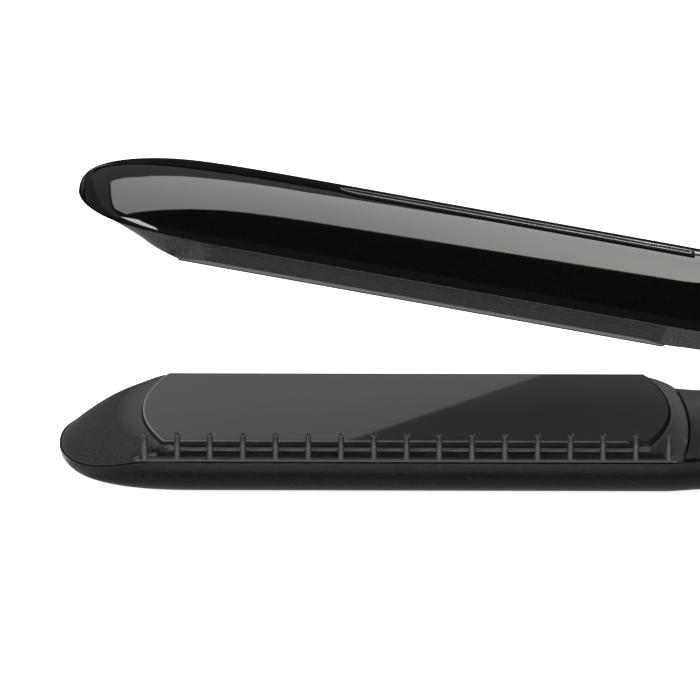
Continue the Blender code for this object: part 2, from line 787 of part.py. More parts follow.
def inlay_rows(grow):
    """Rows of the inlay: a rounded front and a straight rest, grown by a margin."""
    width = INLAY_HALF_WIDTH + grow
    rows = []
    for step in range(6):
        angle = math.pi / 2 * step / 5
        u = INLAY_ARC_U + (INLAY_ARC_LENGTH + grow) * math.cos(angle)
        rows.append((u, width * math.sin(angle) + 0.05))
    rows += [(140.0, width), (INLAY_REAR_U - grow, width)]
    return rows


def panel_rows(grow):
    """Rows of the control panel, grown by a margin."""
    start, end = PANEL_U
    width = PANEL_HALF_WIDTH + grow
    return [(end + grow, width), ((start + end) / 2, width), (start - grow, width)]


def controls(shell):
    """Inlay, control panel with lens and buttons, and the board with its switches below them."""
    ridge_strip("top_inlay", UPPER, inlay_rows(0.0), 0.35, 1.1, SATIN_BLACK)
    groove = ridge_strip("inlay_groove", UPPER, inlay_rows(GAP), 2.0, 3.1, None, CUTTERS)
    panel = ridge_strip("control_panel", UPPER, panel_rows(0.0), 0.2, 1.3, SATIN_GREY)
    pocket = ridge_strip("panel_pocket", UPPER, panel_rows(GAP), 2.0, 3.4, None, CUTTERS)
    opening = block("panel_opening", UPPER, (62.0, 103.0), (-4.9, 4.9), (8.0, 18.0), None, 0, CUTTERS)
    cut(shell, groove, pocket, opening)
    top = UPPER["depth"]
    lens_window = block("lens_window", UPPER, (90.0, 103.5), (-3.6, 3.6), (8.0, 18.0), None, 0, CUTTERS)
    cut(panel, lens_window)
    block("display_lens", UPPER, (90.3, 103.2), (-3.3, 3.3), (top - 1.3, top + 0.1), SMOKED_LENS, 0.2)
    board_top = 10.4
    block("circuit_board", UPPER, (56.0, 108.0), (-7.0, 7.0), (board_top - 1.2, board_top), BOARD_GREEN)
    chip_height = (board_top + GAP, board_top + 1.6)
    block("control_chip", UPPER, (92.0, 100.0), (-3.5, 3.5), chip_height, SATIN_BLACK)
    for name, u, radius in (("minus", 84.5, 2.6), ("plus", 76.5, 2.6), ("power", 67.0, 3.3)):
        window = rod(name + "_window", UPPER, (u, 0.0, top), radius + GAP, 6.0, "d", None, 32, CUTTERS)
        cut(panel, window)
        profile = [(0.0, 0.9), (radius - 0.5, 0.8), (radius, 0.4), (radius, -1.5)]
        profile += [(1.2, -1.5), (1.2, -2.2), (0.0, -2.2)]
        turned(name + "_button", UPPER, profile, (u, 0.0, top), (0.0, 0.0, 0.0), SATIN_BLACK, steps=32)
        height = (board_top + GAP, top - 2.2 - BUTTON_TRAVEL - GAP)
        block(name + "_switch", UPPER, (u - 1.8, u + 1.8), (-1.8, 1.8), height, STEEL)


# Assembly


def build_lower_arm():
    shell = housing("lower_shell", LOWER, SATIN_BLACK)
    screw_bosses(LOWER, shell, 5.0)
    outlet_hole = rod("outlet_hole", LOWER, (-17.0, 0.0, OUTLET_DEPTH), 3.05, 12.0, "u", None, 32, CUTTERS)
    cut(shell, outlet_hole)
    jaw_frame(LOWER)
    heating_set(LOWER, 9.6)
    block("lower_thermal_fuse", LOWER, (140.0, 149.0), (-1.6, 1.6), (6.0, 8.6), STEEL, 0.5)
    comb()
    cover = handle_cover(LOWER, (3.4, 5.0))
    cut(
        cover,
        block("slider_slot", LOWER, (23.5, 32.5), (-2.4, 2.4), (0.0, 9.0), None, 0, CUTTERS),
        block("catch_slot", LOWER, (32.4, 41.5), (-3.7, 3.7), (0.0, 9.0), None, 0, CUTTERS),
    )


def build_upper_arm():
    shell = housing("upper_shell", UPPER, GLOSS_BLACK)
    screw_bosses(UPPER, shell, 2.5)
    frame = jaw_frame(UPPER)
    cut(frame, comb_recess())
    heating_set(UPPER, 9.4)
    cover = handle_cover(UPPER, (0.9, 2.5))
    cut(cover, block("catch_mount", UPPER, (36.9, 39.5), (-3.3, 3.3), (0.0, 5.0), None, 0, CUTTERS))
    controls(shell)


build_lower_arm()
build_upper_arm()
hinge()
lock()
cord_outlet()
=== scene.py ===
"""Looks of the flat iron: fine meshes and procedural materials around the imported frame.

The object's lengths are in millimetres and become metres in the meshes. The studio's are in metres. Each
arm has its own frame on the hinge axis: u runs from the hinge to the tip, y across, d outwards from the plane
where the plates meet.
"""

import json
import math

import bmesh
import bpy
from mathutils import Matrix, Vector


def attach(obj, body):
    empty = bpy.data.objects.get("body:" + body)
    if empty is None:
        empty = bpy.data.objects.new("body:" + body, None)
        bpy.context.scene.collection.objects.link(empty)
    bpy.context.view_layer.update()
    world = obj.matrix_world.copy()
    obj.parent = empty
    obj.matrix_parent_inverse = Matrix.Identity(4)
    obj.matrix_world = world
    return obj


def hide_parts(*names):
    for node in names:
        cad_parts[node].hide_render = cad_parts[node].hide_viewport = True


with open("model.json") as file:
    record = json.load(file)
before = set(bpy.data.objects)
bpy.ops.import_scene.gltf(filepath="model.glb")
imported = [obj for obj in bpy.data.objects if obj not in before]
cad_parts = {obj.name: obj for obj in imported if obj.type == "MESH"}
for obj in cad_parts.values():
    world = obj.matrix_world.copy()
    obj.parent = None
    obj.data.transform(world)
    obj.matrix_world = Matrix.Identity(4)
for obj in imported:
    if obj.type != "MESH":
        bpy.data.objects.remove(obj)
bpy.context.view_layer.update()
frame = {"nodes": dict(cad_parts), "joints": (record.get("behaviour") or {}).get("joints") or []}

MM = 0.001
SEAM = 0.12  # as seen between neighbouring pieces

# The arms, as the frame has them
HINGE = Vector(next(j for j in frame["joints"] if j["name"] == "arm_hinge")["pos_m"])
OPEN_ANGLE = math.radians(10.8)
TIP_U = 235.0
NOSE_START_U = 205.0
EDGE_TURN_U = 212.5  # where the housing's edge starts to leave its straight run towards the tip
EDGE_TURN_LENGTH = 19.5
WALL = 1.6
WALL_AT_TIP = 2.2
JAW_REAR_U = 110.0
HANDLE_FRONT_U = 100.0
TAIL_START_U = 20.0
PLATE_HALF_WIDTH = 18.0
PLATE_FRONT_U = 212.9
PLATE_REAR_U = 112.5
PLATE_BOW = 4.8
PLATE_THICKNESS = 1.5
PLATE_PROUD = 0.7
PLATE_FACE_D = 0.005  # whatever lies deeper belongs to a plate's rounded edge and sides

# The jaw frames' slope and rim
RIM_DEPTH = 1.3
RIM_INSET = 1.0
SLOPE_END_INSET = 0.5
RIM_FRONT = (214.2, 9.2, 2.8)  # where the rim ends ahead of the plate, how far it bows, and how squarely
RIM_ROUNDING = (  # the rings from there to the plate: the same for each, with its inset and its depth
    ((214.1, 8.95, 2.8), 1.1, 1.08),
    ((213.9, 8.3, 2.8), 1.25, 0.95),
)

# Each arm's own sizes. A rim_rear or frame_rear is where an end lies and how far it bows; an edge_line is the
# look of the bright line round the plate (painted light: a painted highlight on the lower plate's rounded
# edge, the bare metal side painted lighter on the upper), its range of d and where it ends behind.
LOWER = {
    "body": "lower_arm",
    "name": "lower",
    "side": -1,
    "jaw_width": 20.0,
    "handle_width": 18.5,
    "depth": 13.5,
    "jaw_edge": 4.0,
    "handle_edge": 4.0,
    "tip_depth": 7.6,
    "slope_power": 1.2,
    "rim_rear": ((111.9, -4.65), (111.6, -4.7)),
    "frame_rear": (106.02, -2.2),
    "edge_line": ("painted_highlight_line", PLATE_FACE_D, 0.12, 117.0),
    "nose_power": 2.4,
    "crown_start_u": 212.0,
    "crown_power": 2.2,
    "power": 3.2,
    "crown": 1.03,
    "tail_u": -17.0,
    "tail_width": 15.0,
}
UPPER = {
    "body": "upper_arm",
    "name": "upper",
    "side": 1,
    "jaw_width": 19.8,
    "handle_width": 19.4,
    "depth": 14.55,
    "jaw_edge": 5.6,
    "handle_edge": 5.6,
    "tip_depth": 4.6,
    "slope_power": 1.0,
    "rim_rear": ((109.4, -3.4), (104.54, -0.81)),
    "frame_rear": (104.54, -0.81),
    "edge_line": ("bare_edge_painted_lighter", 0.45, PLATE_THICKNESS, 112.7),
    "nose_power": 2.2,
    "crown_start_u": 185.0,
    "crown_power": 2.9,
    "power": 1.4,
    "crown": 1.0,
    "tail_u": -10.0,
    "tail_width": 17.6,
}

# Fineness of the meshes
SECTION_SEGMENTS = 72
NOSE_STEPS = 26
ARC_STEPS = 48
SIDE_STEPS = 40
SLOPE_STEPS = 14
ROD_SEGMENTS = 20
STRIP_HALF_STEPS = 5
INLAY_TIP_STEPS = 12
WAIST_STEPS = 15
MERGE_DISTANCE = 1e-7  # metres
SMALLEST_EDGE = 1e-8  # metres

# Radii of moulded edges
HOUSING_EDGE = 0.25
SMALL_PART_EDGE = 0.15
INLAY_EDGE = 0.08

COMB_TEETH = 17
COMB_PITCH = 6.715
COMB_Y = -20.35
COMB_FIRST_U = 216.4
COMB_LAST_U = COMB_FIRST_U - COMB_PITCH * (COMB_TEETH - 1)
COMB_BAR_D = 2.9
COMB_BAR_RADIUS = 0.61
COMB_BAR_OVERHANG = 2.0
COMB_CLIP_HALF_LENGTH = 1.4
COMB_CLIP_D = (1.8, 3.5)
COMB_CLIP_PROUD = 0.1
COMB_CLIP_CHAMFER = 0.25
COMB_CLIPS = ((COMB_FIRST_U - 1.2, -19.3), (COMB_LAST_U - 0.4, -19.6))  # middle, and where each ends inside
TOOTH_TOP_D = -2.8
TOOTH_OVAL = 1.27
TOOTH_WAIST_RADIUS = 0.5
TOOTH_KNOB = ((0.16, 0.0), (0.38, 0.06), (0.5, 0.2), (0.53, 0.42), (0.46, 0.66))  # radius, distance from tip
TOOTH_FOOT = ((0.56, 0.6), (0.6, 0.0))  # radius, rise above the bar's middle

# Ends of the rods, as distance from the end and radius
COMB_BAR_END = (
    (0.0, 0.2),
    (0.15, 0.46),
    (0.5, COMB_BAR_RADIUS),
    (1.1, COMB_BAR_RADIUS),
    (1.25, 0.5),
    (1.7, 0.5),
    (1.85, 0.58),
)
FUSE_END = ((0.0, 0.2), (0.1, 0.9), (0.5, 1.2))
FUSE_U = (149.0, 140.0)
FUSE_D = 7.4

# Camera
CAMERA_DISTANCE = 1.192
CAMERA_ELEVATION = math.radians(22.96)
CAMERA_AZIMUTH = math.radians(0.36)
CAMERA_LENS = 295.7
CAMERA_SENSOR = 36.0
CAMERA_CLIP = (0.05, 50.0)
CAMERA_TARGET_U = 174.4  # millimetres ahead of the hinge
CAMERA_TARGET_RISE = 12.8  # millimetres above the hinge


# Materials

# Sockets of a Mix node that works on colours
MIX_FACTOR = 0
MIX_FIRST_COLOUR = 6
MIX_SECOND_COLOUR = 7
MIX_RESULT = 2

# What all surfaces share
CLOUD_SCALE = 35.0  # of the patches in which the gloss varies
LOWEST_ROUGHNESS = 0.02
SHADE_GAIN = 1.35  # from a surface's colour to its own lighter shade
SHADE_LIFT = 0.002
SHADE_MIX = (0.35, 0.65)  # where the grain goes over from colour to shade
WEAR_SHARE = 0.75
WEAR_EDGE = (0.52, 0.62)  # how pointed an edge is where its wear sets in and is full


def node(tree, kind, **values):
    """A new shader node with its own settings."""
    made = tree.nodes.new(kind)
    for key, value in values.items():
        setattr(made, key, value)
    return made


def noise(tree, coordinates, scale, detail=2.0, roughness=0.5):
    """A cloudy pattern from 0 to 1, whose scale counts its patches per metre."""
    made = node(tree, "ShaderNodeTexNoise")
    made.inputs["Scale"].default_value = scale
    made.inputs["Detail"].default_value = detail
    made.inputs["Roughness"].default_value = roughness
    tree.links.new(coordinates, made.inputs["Vector"])
    return made.outputs["Fac"]


def remap(tree, value, low, high, start=0.3, end=0.7):
    """Runs from low to high while the value runs from start to end."""
    made = node(tree, "ShaderNodeMapRange")
    made.inputs["From Min"].default_value = start
    made.inputs["From Max"].default_value = end
    made.inputs["To Min"].default_value = low
    made.inputs["To Max"].default_value = high
    tree.links.new(value, made.inputs["Value"])
    return made.outputs["Result"]


def mix_colour(tree, factor, first, second):
    """A colour between two others, each of them fixed or linked."""
    made = node(tree, "ShaderNodeMix", data_type="RGBA")
    for index, colour in ((MIX_FIRST_COLOUR, first), (MIX_SECOND_COLOUR, second)):
        if isinstance(colour, tuple):
            made.inputs[index].default_value = (*colour, 1.0)
        else:
            tree.links.new(colour, made.inputs[index])
    tree.links.new(factor, made.inputs[MIX_FACTOR])
    return made.outputs[MIX_RESULT]


def bump(tree, height, distance, strength=1.0, below=None):
    """A relief of a pattern, as high as a distance in metres, on top of another relief if there is one."""
    made = node(tree, "ShaderNodeBump")
    made.inputs["Strength"].default_value = strength
    made.inputs["Distance"].default_value = distance
    tree.links.new(height, made.inputs["Height"])
    if below is not None:
        tree.links.new(below, made.inputs["Normal"])
    return made.outputs["Normal"]


def surface(
    name,
    colour,
    roughness,
    metallic=0.0,
    shade=None,
    spread=0.05,
    grain=(2600.0, 0.00002),
    wave=(60.0, 0.00001),
    stretch=(1.0, 1.0, 1.0),
    wear=None,
    specular=0.5,
    coat=0.0,
    coat_roughness=0.03,
):
    """A moulded or machined surface: fine grain, slow waves, colour and gloss that vary, and worn edges.

    Grain and wave are each a noise scale and a relief height. The colour varies between colour and shade, and
    the roughness by spread to either side.
    """
    material = bpy.data.materials.new(name)
    material.use_nodes = True
    tree = material.node_tree
    shader = tree.nodes["Principled BSDF"]
    shader.inputs["Metallic"].default_value = metallic
    shader.inputs["Specular IOR Level"].default_value = specular
    shader.inputs["Coat Weight"].default_value = coat
    shader.inputs["Coat Roughness"].default_value = coat_roughness
    place = node(tree, "ShaderNodeTexCoord").outputs["Object"]
    mapping = node(tree, "ShaderNodeMapping")
    mapping.inputs["Scale"].default_value = stretch
    tree.links.new(place, mapping.inputs["Vector"])
    stretched = mapping.outputs["Vector"]
    fine = noise(tree, stretched, grain[0], 3.0, 0.6)
    slow = noise(tree, stretched, wave[0], 2.0)
    cloud = noise(tree, place, CLOUD_SCALE, 4.0, 0.55)
    shade = shade or tuple(min(1.0, value * SHADE_GAIN + SHADE_LIFT) for value in colour)
    painted = mix_colour(tree, remap(tree, fine, 0.0, 1.0, *SHADE_MIX), colour, shade)
    if wear is not None:
        edge = node(tree, "ShaderNodeNewGeometry").outputs["Pointiness"]
        worn = remap(tree, edge, 0.0, WEAR_SHARE, *WEAR_EDGE)
        painted = mix_colour(tree, worn, painted, wear)
    tree.links.new(painted, shader.inputs["Base Color"])
    low = max(LOWEST_ROUGHNESS, roughness - spread)
    tree.links.new(remap(tree, cloud, low, roughness + spread), shader.inputs["Roughness"])
    relief = bump(tree, slow, wave[1])
    tree.links.new(bump(tree, fine, grain[1], 1.0, relief), shader.inputs["Normal"])
    return material


def speckle(material, scale, amount, colour):
    """Adds sparse bright flecks to a material's colour."""
    tree = material.node_tree
    shader = tree.nodes["Principled BSDF"]
    place = node(tree, "ShaderNodeTexCoord").outputs["Object"]
    cells = node(tree, "ShaderNodeTexVoronoi")
    cells.inputs["Scale"].default_value = scale
    tree.links.new(place, cells.inputs["Vector"])
    split = node(tree, "ShaderNodeSeparateColor")
    tree.links.new(cells.outputs["Color"], split.inputs["Color"])
    fleck = remap(tree, split.outputs["Red"], 0.0, 1.0, 1.0 - amount, 1.0)
    below = shader.inputs["Base Color"].links[0].from_socket
    tree.links.new(mix_colour(tree, fleck, below, colour), shader.inputs["Base Color"])
    return material


def looks():
    """Every material of the object, by the name of its look."""
    return {
        "gloss_black": surface(
            "gloss_black",
            (0.0016, 0.0016, 0.0016),
            0.04,
            shade=(0.0026, 0.0026, 0.0026),
            spread=0.015,
            grain=(900.0, 0.000001),
            wave=(45.0, 0.000008),
        ),
        "satin_black": speckle(
            surface(
                "satin_black",
                (0.003, 0.003, 0.003),
                0.24,
                shade=(0.006, 0.006, 0.006),
                grain=(5200.0, 0.00005),
                wear=(0.05, 0.05, 0.05),
                specular=0.34,
            ),
            9000.0,
            0.04,
            (0.035, 0.035, 0.035),
        ),
        "comb_black": surface(
            "comb_black", (0.012, 0.012, 0.012), 0.2, grain=(6500.0, 0.00004), wear=(0.07, 0.07, 0.07)
        ),
        "inlay_black": surface(
            "inlay_black",
            (0.004, 0.004, 0.004),
            0.42,
            shade=(0.007, 0.007, 0.007),
            grain=(6000.0, 0.00002),
            specular=0.04,
        ),
        "charcoal": surface(
            "charcoal",
            (0.008, 0.008, 0.0084),
            0.55,
            shade=(0.025, 0.025, 0.026),
            grain=(2300.0, 0.00011),
            wear=(0.09, 0.09, 0.09),
            specular=0.32,
        ),
        "plate_coating": surface(
            "plate_coating",
            (0.028, 0.028, 0.0285),
            0.34,
            shade=(0.034, 0.034, 0.0345),
            grain=(5200.0, 0.000003),
            wave=(30.0, 0.000001),
            specular=0.2,
            coat=1.0,
            coat_roughness=0.015,
        ),
        # Painted highlight: a lighter copy of the charcoal for the lower frame's ledge beside the plate.
        "painted_lit_ledge": surface(
            "painted_lit_ledge", (0.06, 0.06, 0.061), 0.5, shade=(0.09, 0.09, 0.092), grain=(2300.0, 0.00008)
        ),
        # Painted shade: a darker copy of the charcoal for the upper frame's recess along the comb side.
        "painted_shade_recess": surface(
            "painted_shade_recess",
            (0.005, 0.005, 0.0052),
            0.6,
            shade=(0.015, 0.015, 0.0156),
            grain=(2300.0, 0.00011),
            specular=0.24,
        ),
        # Painted highlight: a pale line along the lower plate's rounded edge.
        "painted_highlight_line": surface("painted_highlight_line", (0.13, 0.127, 0.12), 0.45, grain=(2000.0, 0.00003)),
        # The upper plate's bare metal side: its own warm grey, painted lighter than the lower plate's dark
        # side as painted light.
        "bare_edge_painted_lighter": surface("bare_edge_painted_lighter", (0.06, 0.058, 0.049), 0.45, grain=(2000.0, 0.00003)),
        # Painted shade: the plates' sides dark and without reflection.
        "painted_shade_side": surface(
            "painted_shade_side", (0.014, 0.014, 0.014), 0.6, specular=0.0, grain=(2000.0, 0.00003)
        ),
        "bright_trim": surface(
            "bright_trim", (0.42, 0.42, 0.42), 0.25, metallic=0.6, grain=(2400.0, 0.00001)
        ),
        "steel": surface(
            "steel", (0.42, 0.42, 0.43), 0.3, metallic=1.0, stretch=(1.0, 12.0, 1.0), grain=(1500.0, 0.00003)
        ),
        "ceramic": surface("ceramic", (0.72, 0.70, 0.64), 0.6, grain=(1800.0, 0.0001)),
        "satin_grey": surface("satin_grey", (0.05, 0.05, 0.051), 0.34, grain=(2800.0, 0.00003)),
        "smoked_lens": surface(
            "smoked_lens", (0.006, 0.006, 0.008), 0.05, spread=0.02, grain=(600.0, 0.000001)
        ),
        "board_green": surface(
            "board_green", (0.01, 0.10, 0.035), 0.35, shade=(0.03, 0.22, 0.08), grain=(900.0, 0.00005)
        ),
        "wire_red": surface("wire_red", (0.42, 0.02, 0.015), 0.45, grain=(1500.0, 0.00005)),
        "wire_white": surface("wire_white", (0.70, 0.70, 0.68), 0.45, grain=(1500.0, 0.00005)),
    }


LOOKS = looks()


# Building blocks


def arm_matrix(arm):
    """From an arm's own frame on the hinge axis to the row frame."""
    turn = OPEN_ANGLE if arm is UPPER else 0.0
    return Matrix.Translation(HINGE) @ Matrix.Rotation(turn, 4, "Y")


def arm_point(arm, u, y, d):
    """A point of an arm's own frame in metres."""
    return Vector((-u, y, arm["side"] * d)) * MM


def add_object(name, arm, mesh_builder, look, body=None, angle=32.0):
    """Makes a finished object of a mesh; with a body it is a shown piece, without one a cutting tool."""
    bmesh.ops.remove_doubles(mesh_builder, verts=mesh_builder.verts, dist=MERGE_DISTANCE)
    bmesh.ops.dissolve_degenerate(mesh_builder, edges=mesh_builder.edges, dist=SMALLEST_EDGE)
    bmesh.ops.recalc_face_normals(mesh_builder, faces=mesh_builder.faces)
    mesh_builder.transform(arm_matrix(arm))
    mesh = bpy.data.meshes.new(name)
    mesh_builder.to_mesh(mesh)
    mesh_builder.free()
    mesh.materials.append(LOOKS[look])
    mesh.shade_smooth()
    mesh.set_sharp_from_angle(angle=math.radians(angle))
    item = bpy.data.objects.new(name, mesh)
    bpy.context.scene.collection.objects.link(item)
    if body is not None:
        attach(item, body)
    return item


def paint(item, arm, look, chosen):
    """Gives another look to the faces that a test chooses by their middle's u, y and d."""
    materials = item.data.materials
    if LOOKS[look].name not in materials:
        materials.append(LOOKS[look])
    index = materials.find(LOOKS[look].name)
    to_arm = arm_matrix(arm).inverted()
    for polygon in item.data.polygons:
        place = to_arm @ polygon.center / MM
        if chosen(-place.x, place.y, arm["side"] * place.z):
            polygon.material_index = index


def add_loft(mesh_builder, arm, rings, closed_profile=False):
    """Joins rings with equal numbers of points and caps the ends unless the profile closes on itself."""
    rows = [[mesh_builder.verts.new(arm_point(arm, *point)) for point in ring] for ring in rings]
    count = len(rows[0])
    pairs = list(zip(rows, rows[1:]))
    if closed_profile:
        pairs.append((rows[-1], rows[0]))
    else:
        mesh_builder.faces.new(rows[0])
        mesh_builder.faces.new(rows[-1])
    for row, following in pairs:
        for index in range(count):
            after = (index + 1) % count
            mesh_builder.faces.new((row[index], row[after], following[after], following[index]))


def round_edges(item, width, segments=3, angle=30.0):
    """Rounds the edges that are sharper than an angle in degrees."""
    modifier = item.modifiers.new("rounded_edges", "BEVEL")
    modifier.width = width * MM
    modifier.segments = segments
    modifier.limit_method = "ANGLE"
    modifier.angle_limit = math.radians(angle)
    modifier.harden_normals = True


def apply_cuts(item, tools, operation="DIFFERENCE"):
    """Applies Boolean operations and removes their tools."""
    for tool in tools:
        modifier = item.modifiers.new("cut", "BOOLEAN")
        modifier.operation = operation
        modifier.solver = "EXACT"
        modifier.object = tool
    bpy.context.view_layer.update()
    graph = bpy.context.evaluated_depsgraph_get()
    mesh = bpy.data.meshes.new_from_object(item.evaluated_get(graph))
    mesh.name = item.data.name
    item.modifiers.clear()
    item.data = mesh
    for tool in tools:
        bpy.data.objects.remove(tool, do_unlink=True)


# Shape of the arms


def ease(value):
    """A smooth step from 0 to 1."""
    value = min(max(value, 0.0), 1.0)
    return value * value * (3.0 - 2.0 * value)


def nose_fall(u, start, end, power):
    """The share of full size that is left on the way to the tip, as a superellipse."""
    share = min(max((u - start) / (end - start), 0.0), 1.0)
    return (1.0 - share**power) ** (1.0 / power)


def handle_share(u):
    """0 at the jaw and 1 at the handle."""
    return ease((JAW_REAR_U - u) / (JAW_REAR_U - HANDLE_FRONT_U))


def half_width(arm, u, inset=0.0, end=TIP_U):
    """Half of the housing's width at a place along it."""
    width = arm["jaw_width"] + (arm["handle_width"] - arm["jaw_width"]) * handle_share(u)
    tail = ease((TAIL_START_U - u) / (TAIL_START_U - arm["tail_u"]))
    width += (arm["tail_width"] - arm["handle_width"]) * tail
    return (width - inset) * nose_fall(u, NOSE_START_U, end, arm["nose_power"])


def edge_depth(arm, u):
    """Depth of the line where housing and inner parts meet."""
    depth = arm["jaw_edge"] + (arm["handle_edge"] - arm["jaw_edge"]) * handle_share(u)
    return depth + (arm["tip_depth"] - arm["jaw_edge"]) * ease((u - EDGE_TURN_U) / EDGE_TURN_LENGTH)


def full_depth(arm, u, inset=0.0, end=TIP_U):
    """Depth of the housing's ridge at a place along it."""
    fall = nose_fall(u, arm["crown_start_u"], end, arm["crown_power"])
    return edge_depth(arm, u) + (arm["depth"] - inset - edge_depth(arm, u)) * fall


def section(arm, u, inset, end):
    """Points across one station of the housing, from the comb side over the outside to the far side."""
    points = []
    for index in range(SECTION_SEGMENTS + 1):
        angle = math.pi * index / SECTION_SEGMENTS
        across = abs(math.cos(angle)) ** (2.0 / arm["power"])
        rise = min(1.0, arm["crown"] * abs(math.sin(angle)) ** (2.0 / arm["power"]))
        y = -math.copysign(across, math.cos(angle)) * half_width(arm, u, inset, end)
        edge = edge_depth(arm, u)
        points.append((u, y, edge + (full_depth(arm, u, inset, end) - edge) * rise))
    return points


# Places along the housing where it has a section, besides the nose and the narrowing behind the jaw
JAW_STATIONS_U = (200.0, 194.0, 187.0, 180.0, 165.0, 150.0, 130.0)
HANDLE_STATIONS_U = (90.0, 70.0, 45.0, 24.0, 20.0, 16.0, 12.0, 8.0, 4.0, 0.0, -4.0)
WAIST_START_U = JAW_REAR_U + 3.0


def stations(arm, inset, end):
    """All the places where the housing has a section, from the tip to the tail."""
    rows = []
    for step in range(NOSE_STEPS + 1):
        share = math.sin(math.pi / 2 * (1.0 - step / NOSE_STEPS)) ** (2.0 / arm["nose_power"])
        rows.append(NOSE_START_U + (end - NOSE_START_U) * share)
    rows += JAW_STATIONS_U
    rows += [WAIST_START_U - step for step in range(WAIST_STEPS)]
    rows += HANDLE_STATIONS_U
    rows.append(arm["tail_u"] + inset)
    return rows


def housing(arm, look):
    """The hollow outer housing of an arm: an outer and an inner skin joined along the edge."""
    mesh_builder = bmesh.new()
    skins = []
    for inset, end in ((0.0, TIP_U), (WALL, TIP_U - WALL_AT_TIP)):
        rows = [section(arm, u, inset, end) for u in stations(arm, inset, end)]
        skins.append([[mesh_builder.verts.new(arm_point(arm, *p)) for p in row] for row in rows])
    for skin in skins:
        for row, following in zip(skin, skin[1:]):
            for index in range(SECTION_SEGMENTS):
                mesh_builder.faces.new(
                    (row[index], row[index + 1], following[index + 1], following[index])
                )
        mesh_builder.faces.new(skin[-1])
    outer, inner = skins
    for edge in (0, SECTION_SEGMENTS):
        for index in range(len(outer) - 1):
            mesh_builder.faces.new(
                (outer[index][edge], outer[index + 1][edge], inner[index + 1][edge], inner[index][edge])
            )
    mesh_builder.faces.new((outer[-1][0], outer[-1][-1], inner[-1][-1], inner[-1][0]))
    name = arm["name"] + "_housing"
    item = add_object(name, arm, mesh_builder, look, arm["body"])
    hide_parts(arm["name"] + "_shell")
    return item


def loop(nose, tail, width, depth):
    """A closed outline round a jaw, whose two ends are functions of the share across."""
    shares = [math.sin(math.pi / 2 * (2.0 * i / ARC_STEPS - 1.0)) for i in range(ARC_STEPS + 1)]
    front = [(nose(share), width * share) for share in shares]
    rear = [(tail(share), width * share) for share in reversed(shares)]
    points = list(front)
    along = [ease(i / SIDE_STEPS) for i in range(1, SIDE_STEPS)]
    for start, end in ((front[-1], rear[0]), (rear[-1], front[0])):
        points += [(start[0] + (end[0] - start[0]) * share, start[1]) for share in along]
        if end is rear[0]:
            points += rear
    return [(u, y, depth(u, y)) for u, y in points]


def bowed(straight_end, bow, power=2.0):
    """An end that stands out by the bow in the middle."""
    return lambda share: straight_end + bow * (1.0 - abs(share) ** power)


def nose_end(arm, end):
    """The round end of a jaw's nose."""
    power = arm["nose_power"]
    return lambda share: NOSE_START_U + (end - NOSE_START_U) * (1.0 - abs(share) ** power) ** (1.0 / power)


def level(depth):
    """The same depth everywhere."""
    return lambda u, y: depth


def slope_ring(arm, out, drop):
    """A ring on the slope from the plate's rim to the housing's edge, by its shares out and down."""

    def between(first, second):
        return lambda share: first(share) + (second(share) - first(share)) * out

    def depth(u, y):
        return RIM_DEPTH + (edge_depth(arm, u) - SEAM - RIM_DEPTH) * drop

    return loop(
        between(bowed(*RIM_FRONT), nose_end(arm, TIP_U - SLOPE_END_INSET)),
        between(bowed(*arm["rim_rear"][1]), bowed(*arm["frame_rear"])),
        arm["jaw_width"] - RIM_INSET + (RIM_INSET - SLOPE_END_INSET) * out,
        depth,
    )


def along_path(path, share):
    """The point at a share of the length of a path of y and d."""
    lengths = [math.dist(first, second) for first, second in zip(path, path[1:])]
    left = share * sum(lengths)
    for first, second, length in zip(path, path[1:], lengths):
        if left <= length:
            break
        left -= length
    reach = min(left / length, 1.0)
    return tuple(a + (b - a) * reach for a, b in zip(first, second))


# Sections of the frames' comb side, from the flange below to the plate's opening, as y and d
COMB_SIDE = {
    "lower": (
        (-19.5, 3.85),
        (-19.45, 3.4),
        (-18.95, 3.2),
        (-18.85, 2.0),
        (-19.1, 1.85),
        (-19.3, 1.6),
        (-19.25, 1.35),
        (-18.65, 1.05),
        (-18.4, 1.15),
    ),
    "upper": ((-19.3, 5.45), (-19.25, 4.2), (-18.9, 3.7), (-18.6, 2.6), (-18.4, 1.3), (-18.15, 1.15)),
}
COMB_SIDE_ENDS_U = (112.8, 211.8)
COMB_SIDE_FADE = 3.6
COMB_SIDE_Y = -18.0  # everything farther out belongs to the comb side

# The comb side's faces with painted light of their own, a painted highlight on the lower frame's ledge and
# painted shade in the upper frame's recess: the look, and their ranges of u and d
COMB_SIDE_FACES = {
    "lower": ("painted_lit_ledge", (112.8, 211.8), (0.0, 1.62)),
    "upper": ("painted_shade_recess", (112.8, 207.0), (1.16, 5.15)),
}
COMB_SIDE_FACES_Y = -18.3


def shape_comb_side(arm, rings, ring_shares):
    """Bends the rings' straight run on the comb side to the arm's own section there."""
    path = COMB_SIDE[arm["name"]]
    start, end = COMB_SIDE_ENDS_U
    for ring, share in zip(rings, ring_shares):
        y, d = along_path(path, share)
        for index, (u, was_y, was_d) in enumerate(ring):
            if was_y < COMB_SIDE_Y:
                weight = ease((u - start) / COMB_SIDE_FADE) * ease((end - u) / COMB_SIDE_FADE)
                ring[index] = (u, was_y + (y - was_y) * weight, was_d + (d - was_d) * weight)


